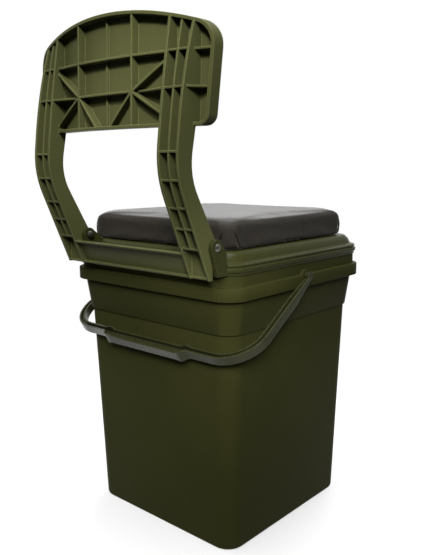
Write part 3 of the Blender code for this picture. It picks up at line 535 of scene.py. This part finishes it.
def cushion_start(half, low, top):
    """The cushion before it swells: a closed form with a crown, round edges and a flat underside."""
    middle = (low + top) / 2
    form = bmesh.new()
    rings = []
    for half_width, corner, draw, z in cushion_rows(half, low, top):
        bulge = math.sqrt(max(0.0, 1 - ((z - middle) / (top - middle)) ** 2))
        pull = (CORNER_PULL if z > middle else FOOT_PULL) * (1 - bulge) * half_width / half
        rings.append([form.verts.new(p) for p in rounded_ring(half_width, corner, draw, pull, z)])
    for upper, lower in zip(rings, rings[1:]):
        for index in range(len(upper)):
            after = (index + 1) % len(upper)
            form.faces.new((upper[index], lower[index], lower[after], upper[after]))
    form.faces.new(rings[0])
    form.faces.new(list(reversed(rings[-1])))
    bmesh.ops.recalc_face_normals(form, faces=form.faces)
    return mesh_object("seat_cushion", form)


def bake_modifiers(piece):
    """Puts the result of the modifiers into the piece's mesh and removes them."""
    graph = bpy.context.evaluated_depsgraph_get()
    made = bpy.data.meshes.new_from_object(piece.evaluated_get(graph))
    piece.modifiers.clear()
    piece.data = made


def points_of(piece):
    """The mesh's points as an array."""
    spots = np.zeros(len(piece.data.vertices) * 3)
    piece.data.vertices.foreach_get("co", spots)
    return spots.reshape(-1, 3)


def set_points(piece, spots):
    """Writes the mesh's points."""
    piece.data.vertices.foreach_set("co", spots.ravel())
    piece.data.update()


def swell(piece, low):
    """Cloth simulation: pressure fills the cover, whose underside is held on its board."""
    start = points_of(piece)
    held = piece.vertex_groups.new(name="held")
    held.add([int(i) for i in np.flatnonzero(start[:, 2] < low + HELD_HEIGHT)], 1.0, "REPLACE")
    cloth = piece.modifiers.new("cloth", "CLOTH")
    settings = cloth.settings
    settings.quality = 6
    settings.mass = 0.25
    settings.tension_stiffness = 25
    settings.compression_stiffness = 25
    settings.shear_stiffness = 12
    settings.bending_stiffness = 0.8
    settings.vertex_group_mass = "held"
    settings.use_pressure = True
    settings.uniform_pressure_force = 4.0
    settings.effector_weights.gravity = 0.0
    scene = bpy.context.scene
    for step in range(1, CLOTH_FRAMES + 1):
        scene.frame_set(step)
    bake_modifiers(piece)
    scene.frame_set(1)
    moved = points_of(piece) - start
    reach = np.linalg.norm(moved, axis=1, keepdims=True)
    set_points(piece, start + moved * np.minimum(1.0, SWELL_CAP / np.maximum(reach, LEAST_MOVE)))


def smooth_step(value, low, high):
    """0 below low, 1 above high and smooth between."""
    share = np.clip((value - low) / (high - low), 0.0, 1.0)
    return share * share * (3 - 2 * share)


def refine_corners(piece, half, low):
    """Cuts the mesh finer at the four corners, where the folds go."""
    form = bmesh.new()
    form.from_mesh(piece.data)

    def in_fold(vertex):
        """Whether a vertex is near a corner and low enough."""
        spot = vertex.co
        return abs(spot.x) + abs(spot.y) > 2 * half - FOLD_REACH and spot.z < low + FOLD_HEIGHT

    for cut in range(FOLD_CUTS):
        close = [edge for edge in form.edges if all(in_fold(vertex) for vertex in edge.verts)]
        bmesh.ops.subdivide_edges(form, edges=close, cuts=1, use_grid_fill=True, smooth=0.0)
    form.to_mesh(piece.data)
    form.free()


def fold_corners(piece, half, low):
    """Butterfly folds at the four corners: two slits with a flap of cloth between them."""
    refine_corners(piece, half, low)
    spots = points_of(piece)
    diagonal = np.stack([np.sign(spots[:, 0]), np.sign(spots[:, 1])], axis=1) / math.sqrt(2)
    beside = -spots[:, 0] * diagonal[:, 1] + spots[:, 1] * diagonal[:, 0]
    outward = spots[:, 0] * diagonal[:, 0] + spots[:, 1] * diagonal[:, 1]
    height = spots[:, 2] - low
    share = np.clip((height - PLEAT_LOW) / (PLEAT_HIGH - PLEAT_LOW), 0.0, 1.0)
    line = PLEAT_FOOT_HALF + (PLEAT_TOP_HALF - PLEAT_FOOT_HALF) * share
    away = np.abs(np.abs(beside) - line)
    tip = half * math.sqrt(2)
    near = smooth_step(outward, tip - FOLD_FAR, tip - FOLD_NEAR)
    rising = smooth_step(height, FOLD_FOOT, PLEAT_LOW)
    tall = rising * (1 - smooth_step(height, PLEAT_HIGH - PLEAT_FADE, PLEAT_HIGH))
    slit = np.clip(1 - away / SLIT_HALF, 0.0, 1.0) * SLIT_DEPTH
    flap = (1 - smooth_step(np.abs(beside), line - FLAP_SOFT, line)) * FLAP_RISE
    push = (flap - slit) * near * tall
    spots[:, :2] += diagonal * push[:, None]
    set_points(piece, spots)


def make_cushion():
    """The padded cushion that stands for the CAD cover and foam."""
    cover_low, cover_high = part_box("cushion_cover")
    half = cover_high.x
    low = cover_low.z
    top = cover_high.z - CUSHION_CROWN - TOP_ROOM
    inset = START_INSET
    piece = cushion_start(half - inset, low + FOOT_GAP, top - inset)
    remesh = piece.modifiers.new("remesh", "REMESH")
    remesh.mode = "VOXEL"
    remesh.voxel_size = VOXEL
    bake_modifiers(piece)
    swell(piece, low)
    soften = piece.modifiers.new("soften", "SUBSURF")
    soften.levels = 1
    soften.render_levels = 1
    bake_modifiers(piece)
    fold_corners(piece, half, low)
    spots = points_of(piece)
    spots[:, 2] = np.maximum(spots[:, 2], low)
    set_points(piece, spots)
    coat(piece, cover_cloth)
    return piece


cushion = make_cushion()
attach(cushion, "lid")
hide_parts("cushion_cover", "cushion_foam")


# Floor and surroundings
def seen_directly(tree):
    """1 for rays from the camera, from gloss and through glass, 0 for diffuse light on the object."""
    path = add_node(tree, "ShaderNodeLightPath")
    gloss = maths(tree, "MAXIMUM", path.outputs["Is Glossy Ray"], path.outputs["Is Transmission Ray"])
    return maths(tree, "MAXIMUM", path.outputs["Is Camera Ray"], gloss)


def make_floor():
    """A pale studio floor that reads white and keeps a soft shadow."""
    form = bmesh.new()
    bmesh.ops.create_circle(form, cap_ends=True, segments=FLOOR_SIDES, radius=FLOOR_RADIUS)
    floor = mesh_object("floor", form)
    material, tree, shader = new_material("pale_floor")
    tree.nodes.remove(shader)
    tone = mixed(tree, noise(tree, object_space(tree), scale=3.0), FLOOR_DARK, FLOOR_LIGHT)
    paper = add_node(tree, "ShaderNodeBsdfDiffuse")
    tree.links.new(tone, paper.inputs["Color"])
    glow = add_node(tree, "ShaderNodeEmission", Color=WHITE, Strength=1.0)
    lit = mix_shaders(tree, FLOOR_GLOW, paper.outputs[0], glow.outputs[0])
    bounce = add_node(tree, "ShaderNodeBsdfDiffuse", Color=FLOOR_BOUNCE)
    shown = mix_shaders(tree, seen_directly(tree), bounce.outputs[0], lit)
    tree.links.new(shown, tree.nodes["Material Output"].inputs["Surface"])
    floor.data.materials.append(material)


def make_world():
    """A studio with a white backdrop and a dimmer room in front of it, which gloss and metal show."""
    world = bpy.data.worlds.new("studio")
    bpy.context.scene.world = world
    world.use_nodes = True
    tree = world.node_tree
    dim = tree.nodes["Background"]
    dim.inputs["Color"].default_value = WHITE
    dim.inputs["Strength"].default_value = ROOM_LIGHT
    white = add_node(tree, "ShaderNodeBackground", Color=WHITE)
    path = add_node(tree, "ShaderNodeLightPath")
    way = add_node(tree, "ShaderNodeTexCoord").outputs["Generated"]
    facing = add_node(tree, "ShaderNodeVectorMath", operation="DOT_PRODUCT")
    tree.links.new(way, facing.inputs[0])
    facing.inputs[1].default_value = FRONT_DIRECTION
    room = scaled(tree, facing.outputs["Value"], FRONT_FADE, (1.0, FRONT_DIM))
    strength = maths(tree, "MAXIMUM", room, path.outputs["Is Camera Ray"])
    tree.links.new(strength, white.inputs["Strength"])
    shown = mix_shaders(tree, seen_directly(tree), dim.outputs[0], white.outputs[0])
    tree.links.new(shown, tree.nodes["World Output"].inputs["Surface"])


def back_direction(azimuth, elevation):
    """From the object towards a viewer or lamp."""
    flat = math.cos(elevation)
    return Vector((math.sin(azimuth) * flat, -math.cos(azimuth) * flat, math.sin(elevation)))


def add_lamp(name, kind, energy, azimuth, elevation, distance, target, glossy, **values):
    """A lamp that looks at a target from a direction in degrees, and shows in gloss or only fills."""
    data = bpy.data.lights.new(name, kind)
    data.energy = energy
    for key, value in values.items():
        setattr(data, key, value)
    lamp = bpy.data.objects.new(name, data)
    lamp.visible_glossy = glossy
    bpy.context.scene.collection.objects.link(lamp)
    back = back_direction(math.radians(azimuth), math.radians(elevation))
    lamp.location = Vector(target) + back * distance
    lamp.rotation_mode = "QUATERNION"
    lamp.rotation_quaternion = back.to_track_quat("Z", "Y")


def add_sun(name, energy, azimuth, elevation, angle, glossy=False):
    """A broad lamp on the whole object."""
    place = (azimuth, elevation, SUN_DISTANCE, OBJECT_MIDDLE)
    add_lamp(name, "SUN", energy, *place, glossy=glossy, angle=angle)


def add_box(name, energy, azimuth, elevation, distance, target, size):
    """A small studio box on one part of the object, which gloss doesn't show."""
    place = (azimuth, elevation, distance, target)
    add_lamp(name, "AREA", energy, *place, glossy=False, size=size, spread=BOX_SPREAD)


def make_camera():
    """The photograph's camera."""
    data = bpy.data.cameras.new("camera")
    data.lens = data.sensor_width * FOCAL_PIXELS / IMAGE_LONG_SIDE
    data.shift_y = -CENTRE_DROP_PIXELS / IMAGE_LONG_SIDE
    data.clip_start = 0.02
    data.clip_end = 200.0
    camera = bpy.data.objects.new("camera", data)
    bpy.context.scene.collection.objects.link(camera)
    back = back_direction(CAMERA_AZIMUTH, CAMERA_ELEVATION)
    level = Vector((-back.y, back.x, 0.0)).normalized()
    upward = back.cross(level)
    right = level * math.cos(CAMERA_ROLL) + upward * math.sin(CAMERA_ROLL)
    turn = Matrix((right, back.cross(right), back)).transposed()
    camera.rotation_mode = "QUATERNION"
    camera.rotation_quaternion = turn.to_quaternion()
    camera.location = CAMERA_PLACE
    bpy.context.scene.camera = camera


make_floor()
make_world()
make_camera()
add_sun("key", energy=3.1, azimuth=219.0, elevation=36.0, angle=CRISP)
add_sun("overhead", energy=3.2, azimuth=215.0, elevation=82.0, angle=SOFT, glossy=True)
add_sun("front_fill", energy=2.2, azimuth=20.0, elevation=34.0, angle=SOFT)
add_sun("left_fill", energy=1.5, azimuth=110.0, elevation=34.0, angle=SOFT)
add_box(
    "front_box", energy=0.12, azimuth=226.0, elevation=24.0, distance=0.55, target=NEAR_CORNER, size=0.12
)
add_box(
    "panel_box", energy=0.16, azimuth=224.0, elevation=36.0, distance=0.60, target=PANEL_MIDDLE, size=0.05
)
bpy.context.scene.view_settings.view_transform = "Standard"
